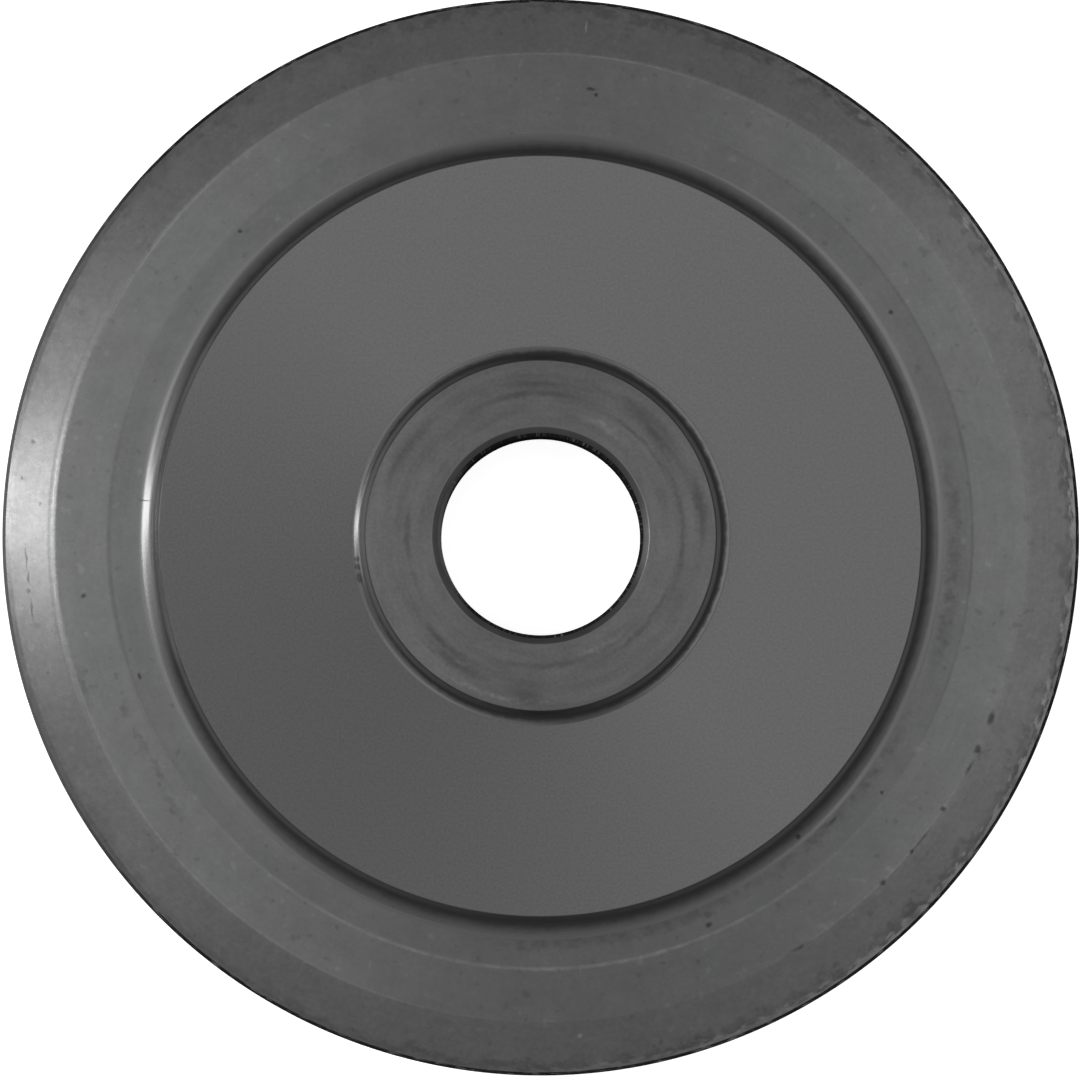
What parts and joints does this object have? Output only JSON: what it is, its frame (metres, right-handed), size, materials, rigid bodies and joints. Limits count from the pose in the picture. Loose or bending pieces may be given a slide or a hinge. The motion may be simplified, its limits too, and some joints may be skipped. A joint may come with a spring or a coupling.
{
  "type": "pipe cutter wheel",
  "caption": "Steel cutting wheel for a pipe cutter: a thin bevelled rim with a sharp edge, a flat raised body and a bored hub, the same on both sides.",
  "frame": {"origin": "on the bore's axis, in the plane of the cutting edge, half way between the two hub faces", "axes": "+Z along the bore's axis and out of the front face; the wheel lies flat on its back hub face; +Y is up in the picture and +X is right"},
  "size_m": [0.065, 0.065, 0.008],
  "materials": {
    "tool_steel": "hardened, turned and ground, dark satin grey"
  },
  "bodies": {
    "root": {"cutter_wheel": "tool_steel"}
  },
  "joints": []
}
